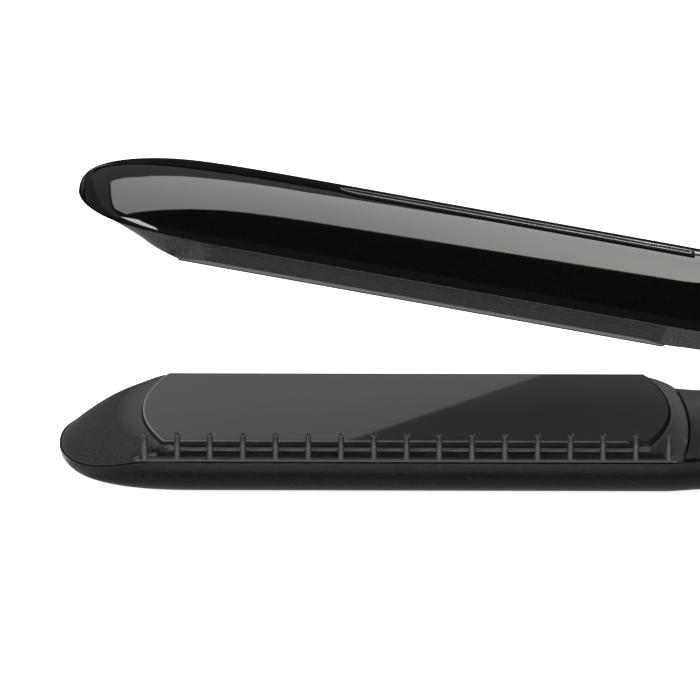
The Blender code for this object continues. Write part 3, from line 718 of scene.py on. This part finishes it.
def jaw_frame(arm):
    """The heat-resistant frame round the plate."""
    opening_front = bowed(PLATE_FRONT_U + SEAM, PLATE_BOW)
    opening_rear = bowed(PLATE_REAR_U - SEAM, -PLATE_BOW)
    opening_width = PLATE_HALF_WIDTH + SEAM
    rings = []
    for step in range(SLOPE_STEPS + 1):
        angle = math.pi / 2 * step / SLOPE_STEPS
        out = math.cos(angle) ** (2.0 / arm["slope_power"]) if step < SLOPE_STEPS else 0.0
        rings.append(slope_ring(arm, out, 1.0 - math.sin(angle) ** (2.0 / arm["slope_power"])))
    rim_rear = bowed(*arm["rim_rear"][0])
    for front, inset, depth in RIM_ROUNDING:
        rings.append(loop(bowed(*front), rim_rear, arm["jaw_width"] - inset, level(depth)))
    rings.append(loop(opening_front, opening_rear, opening_width, level(PLATE_PROUD)))
    shape_comb_side(arm, rings, [index / (len(rings) - 1) for index in range(len(rings))])
    rings.append(loop(opening_front, opening_rear, opening_width, lambda u, y: edge_depth(arm, u) - SEAM))
    mesh_builder = bmesh.new()
    add_loft(mesh_builder, arm, rings, closed_profile=True)
    item = add_object(arm["name"] + "_jaw_frame", arm, mesh_builder, "charcoal", arm["body"], 40.0)
    # Painted light on the comb side: a lighter charcoal on the lower frame's ledge, a darker one in the upper
    # frame's recess.
    look, (start, end), (low, high) = COMB_SIDE_FACES[arm["name"]]
    paint(item, arm, look, lambda u, y, d: start < u < end and y < COMB_SIDE_FACES_Y and low < d < high)
    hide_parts(arm["name"] + "_frame")


# Section of a plate's edge from the flat face to the side, as distance from the side and depth
PLATE_EDGE = ((0.8, 0.0), (0.55, 0.0), (0.4, 0.02), (0.18, 0.12), (0.05, 0.25), (0.0, 0.44))


def plate(arm):
    """The heating plate: a coated face, and sides in painted shade with a line of painted light along the
    edge: a painted highlight on the lower plate, the bare metal side painted lighter on the upper.
    """
    line_look, line_start, line_end, line_rear_u = arm["edge_line"]
    rings = []
    for shrink, depth in (*PLATE_EDGE, (0.0, PLATE_THICKNESS)):
        rings.append(
            loop(
                bowed(PLATE_FRONT_U - shrink, PLATE_BOW),
                bowed(PLATE_REAR_U + shrink, -PLATE_BOW),
                PLATE_HALF_WIDTH - shrink,
                level(depth),
            )
        )
    mesh_builder = bmesh.new()
    add_loft(mesh_builder, arm, rings)
    name = arm["name"] + "_heating_plate"
    item = add_object(name, arm, mesh_builder, "plate_coating", arm["name"] + "_plate_group")
    # Painted shade: the plate's rounded edge and sides dark.
    paint(item, arm, "painted_shade_side", lambda u, y, d: d > PLATE_FACE_D)
    # The edge line: a painted highlight on the lower plate, the bare metal side painted lighter on the upper.
    paint(item, arm, line_look, lambda u, y, d: line_start < d < line_end and u > line_rear_u)
    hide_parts(arm["name"] + "_plate")


# Side comb


def ring_round(centre, radius, across, oval=1.0):
    """A ring of points in u, y and d round a centre, in the plane of the two directions across."""
    first, second = across
    ring = []
    for step in range(ROD_SEGMENTS):
        angle = 2.0 * math.pi * step / ROD_SEGMENTS
        a, b = radius * oval * math.cos(angle), radius * math.sin(angle)
        ring.append(tuple(c + a * f + b * g for c, f, g in zip(centre, first, second)))
    return ring


def rod_rings(front, rear, y, d, end_profile):
    """A rod along u, both of whose ends follow a profile of distance from the end and radius."""
    plane = ((0.0, 1.0, 0.0), (0.0, 0.0, 1.0))
    profile = [(front - step, radius) for step, radius in end_profile]
    profile += [(rear + step, radius) for step, radius in reversed(end_profile)]
    return [ring_round((u, y, d), radius, plane) for u, radius in profile]


def tooth_rings(u):
    """A comb tooth from its knobbed tip down to the bar."""
    height = COMB_BAR_D - TOOTH_TOP_D
    profile = [(radius, height - drop) for radius, drop in TOOTH_KNOB]
    profile.append((TOOTH_WAIST_RADIUS, height / 2))
    profile += TOOTH_FOOT
    plane = ((1.0, 0.0, 0.0), (0.0, 1.0, 0.0))
    rings = []
    for radius, rise in profile:
        rings.append(ring_round((u, COMB_Y, COMB_BAR_D - rise), radius, plane, TOOTH_OVAL))
    return rings


def comb_clip_rings(u, reach):
    """A clip from the comb's bar to the frame's side."""
    rings = []
    outside = COMB_Y - COMB_CLIP_PROUD
    for y, shrink in ((outside, COMB_CLIP_CHAMFER), (outside + COMB_CLIP_CHAMFER, 0.0), (reach, 0.0)):
        low, high = COMB_CLIP_D[0] + shrink, COMB_CLIP_D[1] - shrink
        wide = COMB_CLIP_HALF_LENGTH - shrink
        rings.append([(u - wide, y, low), (u + wide, y, low), (u + wide, y, high), (u - wide, y, high)])
    return rings


def comb():
    """The bar with its teeth and end clips."""
    front, rear = COMB_FIRST_U + COMB_BAR_OVERHANG, COMB_LAST_U - COMB_BAR_OVERHANG
    mesh_builder = bmesh.new()
    add_loft(mesh_builder, LOWER, rod_rings(front, rear, COMB_Y, COMB_BAR_D, COMB_BAR_END))
    bar = add_object("side_comb", LOWER, mesh_builder, "comb_black", "comb")
    tools = []
    shapes = [tooth_rings(COMB_FIRST_U - COMB_PITCH * index) for index in range(COMB_TEETH)]
    shapes += [comb_clip_rings(*clip) for clip in COMB_CLIPS]
    for rings in shapes:
        mesh_builder = bmesh.new()
        add_loft(mesh_builder, LOWER, rings)
        tools.append(add_object("comb_tool", LOWER, mesh_builder, "comb_black"))
    apply_cuts(bar, tools, "UNION")
    bar.data.set_sharp_from_angle(angle=math.radians(40.0))
    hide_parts("comb")


# Ridge of the upper arm

PANEL_STATIONS_U = (106.5, 100.0, 82.0, 58.0)
PANEL_HALF_WIDTH = 6.4
PANEL_GAP = 0.15
PANEL_POCKET_DEPTH = 1.4
INLAY_STATIONS_U = (150.0, 130.0)
INLAY_REAR_U = 108.2
INLAY_TIP_START_U = 177.0
INLAY_TIP_LENGTH = 6.0
INLAY_TIP_HALF_WIDTH = 0.05
INLAY_HALF_WIDTH = 1.6
INLAY_RAISED = 0.3
INLAY_THICKNESS = 1.1
TRIM_GROOVE_INSETS = (0.68, 0.96)  # of its outer and inner edge from the inlay's outline
TRIM_INSETS = (0.7, 0.94)
TRIM_RAISED = 0.33
TRIM_THICKNESS = 0.3
CUTTER_RAISED = 2.0  # how far a cutting tool stands out of the ridge
PUNCH_RAISED = 3.0  # the same for a tool that cuts right through


def ridge_depth(u, y, raised):
    """Depth of the upper housing's skin at a place near its ridge."""
    share = min(abs(y) / half_width(UPPER, u), 1.0)
    rise = (1.0 - share ** UPPER["power"]) ** (1.0 / UPPER["power"])
    edge = edge_depth(UPPER, u)
    return edge + (full_depth(UPPER, u) - edge) * rise + raised


def ridge_strip(mesh_builder, rows, raised, thickness):
    """A strip that follows the ridge, from rows of u and half width."""
    shares = [step / STRIP_HALF_STEPS - 1.0 for step in range(2 * STRIP_HALF_STEPS + 1)]
    rings = []
    for u, width in rows:
        top = [(u, width * share, ridge_depth(u, width * share, raised)) for share in shares]
        floor = [(u, y, depth - thickness) for u, y, depth in reversed(top)]
        rings.append(top + floor)
    add_loft(mesh_builder, UPPER, rings)


def inlay_rows(grow):
    """The inlay's outline from its pointed tip to its square rear end, larger by a margin."""
    full_width = INLAY_HALF_WIDTH + grow
    rows = []
    for step in range(INLAY_TIP_STEPS + 1):
        angle = math.pi / 2 * step / INLAY_TIP_STEPS
        width = full_width * math.sin(angle) + INLAY_TIP_HALF_WIDTH
        rows.append((INLAY_TIP_START_U + (INLAY_TIP_LENGTH + grow) * math.cos(angle), width))
    rows += [(u, full_width) for u in (*INLAY_STATIONS_U, INLAY_REAR_U - grow)]
    return rows


def panel_rows(grow):
    """The control panel's outline, larger by a margin."""
    front, *middle, rear = PANEL_STATIONS_U
    return [(u, PANEL_HALF_WIDTH + grow) for u in (front + grow, *middle, rear - grow)]


def strip_object(name, rows, raised, thickness, look, body=None):
    """An object of its own that follows the ridge."""
    mesh_builder = bmesh.new()
    ridge_strip(mesh_builder, rows, raised, thickness)
    return add_object(name, UPPER, mesh_builder, look, body)


def inlay():
    """The dark inlay on the ridge and the bright line let into it."""
    rows = inlay_rows(0.0)
    strip = strip_object("ridge_inlay", rows, INLAY_RAISED, INLAY_THICKNESS, "inlay_black", "upper_arm")
    outer, inner = (inlay_rows(-inset) for inset in TRIM_GROOVE_INSETS)
    groove = strip_object("trim_groove", outer, CUTTER_RAISED, CUTTER_RAISED, "inlay_black")
    island = strip_object("trim_island", inner, PUNCH_RAISED, 2 * PUNCH_RAISED, "inlay_black")
    apply_cuts(groove, [island])
    apply_cuts(strip, [groove])
    round_edges(strip, INLAY_EDGE, 2)
    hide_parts("top_inlay")
    outer, inner = (inlay_rows(-inset) for inset in TRIM_INSETS)
    trim = strip_object("ridge_trim", outer, TRIM_RAISED, TRIM_THICKNESS, "bright_trim", "upper_arm")
    room = strip_object("ridge_room", inner, PUNCH_RAISED, 2 * PUNCH_RAISED, "bright_trim")
    apply_cuts(trim, [room])


def thermal_fuse():
    """The fuse's can with its rounded ends, between the lower arm's leads."""
    mesh_builder = bmesh.new()
    add_loft(mesh_builder, LOWER, rod_rings(*FUSE_U, 0.0, FUSE_D, FUSE_END))
    fuse = add_object("thermal_fuse", LOWER, mesh_builder, "steel", "lower_arm")
    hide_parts("lower_thermal_fuse")


# Assembly


def lower_arm():
    """Everything of the lower arm that has a fine piece."""
    shell = housing(LOWER, "satin_black")
    round_edges(shell, HOUSING_EDGE, angle=50.0)
    jaw_frame(LOWER)
    plate(LOWER)
    thermal_fuse()
    comb()


def upper_arm():
    """Everything of the upper arm that has a fine piece."""
    shell = housing(UPPER, "gloss_black")
    pockets = (
        ("inlay_groove", inlay_rows(SEAM), INLAY_THICKNESS),
        ("panel_pocket", panel_rows(PANEL_GAP), PANEL_POCKET_DEPTH),
    )
    tools = []
    for name, rows, depth in pockets:
        tools.append(strip_object(name, rows, CUTTER_RAISED, CUTTER_RAISED + depth, "satin_black"))
    apply_cuts(shell, tools)
    round_edges(shell, HOUSING_EDGE, angle=50.0)
    jaw_frame(UPPER)
    plate(UPPER)
    inlay()


# The looks of the pieces that stay as the frame has them
NODE_LOOKS = {
    "satin_black": ("control_chip", "minus_button", "plus_button", "power_button", "cord_swivel"),
    "charcoal": (
        "lower_chassis",
        "upper_chassis",
        "lower_handle_cover",
        "upper_handle_cover",
        "hinge_block",
        "hinge_ear_left",
        "hinge_ear_right",
        "lock_catch",
    ),
    "steel": (
        "lower_heater_clip",
        "upper_heater_clip",
        "lower_plate_spring_front",
        "lower_plate_spring_rear",
        "upper_plate_spring_front",
        "upper_plate_spring_rear",
        "lower_cover_screw_front",
        "lower_cover_screw_rear",
        "upper_cover_screw_front",
        "upper_cover_screw_rear",
        "hinge_pin",
        "hinge_spring",
        "hinge_cap_left",
        "hinge_cap_right",
        "minus_switch",
        "plus_switch",
        "power_switch",
    ),
    "ceramic": ("lower_heater", "upper_heater", "lower_thermal_sensor", "upper_thermal_sensor"),
    "satin_grey": ("control_panel", "lock_slider"),
    "smoked_lens": ("display_lens",),
    "board_green": ("circuit_board",),
    "wire_red": ("lower_lead_live", "upper_lead_live"),
    "wire_white": ("lower_lead_neutral", "upper_lead_neutral"),
}
ROUNDED_NODES = ("lock_slider", "lock_catch", "hinge_block", "upper_handle_cover", "display_lens")


def dress_nodes():
    """Gives every carried-over node its material, and small radii to the moulded ones."""
    for look, names in NODE_LOOKS.items():
        for name in names:
            item = frame["nodes"][name]
            item.data.materials.clear()
            item.data.materials.append(LOOKS[look])
    for name in ROUNDED_NODES:
        round_edges(frame["nodes"][name], SMALL_PART_EDGE, 2)


# Studio

FLOOR_HALF_SIZE = 6.0
FLOOR_GLOW = 0.85
FLOOR_SHADE = 0.85
FLOOR_ROUGHNESS = 0.9
WORLD_DIFFUSE = 0.9
WORLD_GLOSSY = 0.02
WHITE = (1.0, 1.0, 1.0, 1.0)

# The softbox's warm corner: it grows full over a range of x, fades away over a range of y, and has a tint
WARM_CORNER_X = (0.2, 0.38)
WARM_CORNER_Y = (0.45, 0.95)
WARM_TINT = (1.6, 1.57, 1.4)

# Lamps: place, the point each faces, size across and up, turn about its axis in degrees, power
LAMPS = {
    "overhead": ((0.19, 0.635, 1.1), (0.0, 0.0, 0.03), (1.3, 0.43), 14.0, 6.4),
    "left": ((-0.9, -0.5, 0.3), (-0.1, 0.0, 0.01), (0.3, 0.3), 0.0, 4.5),
}

# Level sheets that only show in reflections: brightness, height, and corners in x and y
CARDS = {
    "softbox": (
        3.7,
        1.1,
        (
            (-0.5, 0.57),
            (-0.2, 0.7),
            (0.0, 0.88),
            (0.2, 1.0),
            (0.3, 1.2),
            (0.43, 1.55),
            (0.56, 1.55),
            (0.4, 0.56),
            (0.2, 0.4),
            (-0.16, 0.18),
            (-0.38, 0.04),
            (-0.6, -0.09),
            (-0.73, 0.02),
            (-0.56, 0.4),
        ),
    ),
    "glint": (11.0, 1.09, ((-0.82, -0.24), (-0.5, -0.2), (-0.4, -0.46), (-0.5, -0.76))),
    "left_panel": (0.2, 1.2, ((-6.0, -0.4), (-1.2, -0.4), (-1.2, 3.0), (-6.0, 3.0))),
    "left_band": (
        0.42,
        1.2,
        ((-1.2, -0.4), (-0.9, -0.4), (-0.86, 0.02), (-0.62, 0.48), (-0.6, 0.62), (-0.6, 1.3), (-1.2, 1.3)),
    ),
    "front_panel": (0.09, 1.2, ((-1.5, -3.0), (2.0, -3.0), (2.0, -0.36), (-1.5, -0.36))),
    "far_paper": (0.22, -0.002, ((-0.6, -1.2), (0.6, -1.2), (0.6, -0.09), (-0.6, -0.09))),
    "comb_paper": (4.0, -0.002, ((-0.4, -0.078), (0.3, -0.078), (0.3, -0.048), (-0.4, -0.048))),
    "near_paper": (0.3, -0.002, ((-0.4, -0.028), (0.3, -0.028), (0.3, 0.0), (-0.4, 0.0))),
    "nose_paper": (1.6, -0.002, ((-0.4, -0.03), (-0.128, -0.03), (-0.128, 0.12), (-0.4, 0.12))),
}

# Upright sheets behind the object, seen the same way: brightness, distance, and corners in x and z
UPRIGHT_CARDS = {
    "plate_card": (0.43, 1.0, ((-0.7, 0.4), (0.094, 0.4), (-0.173, 0.5), (-0.7, 0.5))),
    "left_low_card": (0.3, 1.05, ((-1.2, 0.0), (-0.25, 0.0), (-0.25, 0.33), (-1.2, 0.33))),
    "right_card": (2.0, 1.05, ((0.1, 0.03), (1.5, 0.03), (1.5, 0.36), (0.1, 0.36))),
    "ridge_strip": (
        0.4,
        1.1,
        (
            (-1.2, 0.93),
            (0.2, 0.93),
            (0.26, 0.62),
            (0.27, 0.5),
            (0.31, 0.66),
            (0.27, 1.0),
            (0.2, 1.2),
            (0.0, 1.45),
            (-0.2, 1.8),
            (-0.6, 2.3),
            (-1.2, 2.3),
        ),
    ),
}


def show(name, corners, material):
    """A flat sheet of the studio with given corners."""
    mesh = bpy.data.meshes.new(name)
    mesh.from_pydata(corners, [], [range(len(corners))])
    mesh.materials.append(material)
    sheet = bpy.data.objects.new(name, mesh)
    bpy.context.scene.collection.objects.link(sheet)
    return sheet


def floor_paint():
    """Pale paper that glows a little, as on a light table, so that shadows stay faint."""
    paper = bpy.data.materials.new("pale_floor")
    paper.use_nodes = True
    shader = paper.node_tree.nodes["Principled BSDF"]
    shader.inputs["Base Color"].default_value = (FLOOR_SHADE, FLOOR_SHADE, FLOOR_SHADE, 1.0)
    shader.inputs["Roughness"].default_value = FLOOR_ROUGHNESS
    shader.inputs["Specular IOR Level"].default_value = 0.0
    shader.inputs["Emission Color"].default_value = WHITE
    shader.inputs["Emission Strength"].default_value = FLOOR_GLOW
    return paper


def warm_corner(tree):
    """The softbox's colour, which grows brighter and warmer towards its near right corner."""
    place = node(tree, "ShaderNodeTexCoord").outputs["Object"]
    parts = node(tree, "ShaderNodeSeparateXYZ")
    tree.links.new(place, parts.inputs["Vector"])
    rightness = remap(tree, parts.outputs["X"], 0.0, 1.0, *WARM_CORNER_X)
    nearness = remap(tree, parts.outputs["Y"], 1.0, 0.0, *WARM_CORNER_Y)
    both = node(tree, "ShaderNodeMath", operation="MULTIPLY")
    tree.links.new(rightness, both.inputs[0])
    tree.links.new(nearness, both.inputs[1])
    return mix_colour(tree, both.outputs["Value"], WHITE[:3], WARM_TINT)


def glow(name, strength):
    """An emitting sheet's material."""
    material = bpy.data.materials.new(name)
    material.use_nodes = True
    tree = material.node_tree
    tree.nodes.remove(tree.nodes["Principled BSDF"])
    emission = node(tree, "ShaderNodeEmission")
    emission.inputs["Strength"].default_value = strength
    if name == "softbox":
        tree.links.new(warm_corner(tree), emission.inputs["Color"])
    tree.links.new(emission.outputs["Emission"], tree.nodes["Material Output"].inputs["Surface"])
    return material


def surroundings():
    """Floor, and the sheets that only show in reflections."""
    reach = FLOOR_HALF_SIZE
    corners = [(-reach, -reach, 0.0), (reach, -reach, 0.0), (reach, reach, 0.0), (-reach, reach, 0.0)]
    floor = show("floor", corners, floor_paint())
    floor.visible_glossy = False
    cards = {}
    for name, (strength, height, outline) in CARDS.items():
        cards[name] = (strength, [(x, y, height) for x, y in outline])
    for name, (strength, distance, outline) in UPRIGHT_CARDS.items():
        cards[name] = (strength, [(x, distance, z) for x, z in outline])
    for name, (strength, corners) in cards.items():
        card = show(name, corners, glow(name, strength))
        card.visible_camera = False
        card.visible_diffuse = False
        card.visible_shadow = False


def sky():
    """A white world, dim where it would show in reflections."""
    world = bpy.data.worlds.new("studio")
    bpy.context.scene.world = world
    world.use_nodes = True
    tree = world.node_tree
    background = tree.nodes["Background"]
    background.inputs["Color"].default_value = WHITE
    path = node(tree, "ShaderNodeLightPath")
    seen = remap(tree, path.outputs["Is Glossy Ray"], WORLD_DIFFUSE, WORLD_GLOSSY, 0.0, 1.0)
    strongest = node(tree, "ShaderNodeMath", operation="MAXIMUM")
    tree.links.new(seen, strongest.inputs[0])
    tree.links.new(path.outputs["Is Camera Ray"], strongest.inputs[1])
    tree.links.new(strongest.outputs["Value"], background.inputs["Strength"])


def lamps():
    """Soft area lamps that light the object without showing in it."""
    for name, (place, facing, size, turn, power) in LAMPS.items():
        data = bpy.data.lights.new(name, "AREA")
        data.shape = "RECTANGLE"
        data.size, data.size_y = size
        data.energy = power
        lamp = bpy.data.objects.new(name, data)
        aim = (Vector(facing) - Vector(place)).to_track_quat("-Z", "Y").to_matrix().to_4x4()
        lamp.matrix_world = Matrix.Translation(place) @ aim @ Matrix.Rotation(math.radians(turn), 4, "Z")
        lamp.visible_camera = False
        lamp.visible_glossy = False
        bpy.context.scene.collection.objects.link(lamp)


def view_camera():
    """A long lens that looks at the jaws from the comb side and a little from above."""
    data = bpy.data.cameras.new("camera")
    data.lens = CAMERA_LENS
    data.sensor_width = CAMERA_SENSOR
    data.clip_start, data.clip_end = CAMERA_CLIP
    camera = bpy.data.objects.new("camera", data)
    target = HINGE + Vector((-CAMERA_TARGET_U, 0.0, CAMERA_TARGET_RISE)) * MM
    away = Vector(
        (
            math.sin(CAMERA_AZIMUTH) * math.cos(CAMERA_ELEVATION),
            -math.cos(CAMERA_AZIMUTH) * math.cos(CAMERA_ELEVATION),
            math.sin(CAMERA_ELEVATION),
        )
    )
    camera.location = target + away * CAMERA_DISTANCE
    camera.rotation_euler = (-away).to_track_quat("-Z", "Y").to_euler()
    bpy.context.scene.collection.objects.link(camera)
    bpy.context.scene.camera = camera
    bpy.context.scene.view_settings.view_transform = "Standard"


lower_arm()
upper_arm()
dress_nodes()
surroundings()
sky()
lamps()
view_camera()
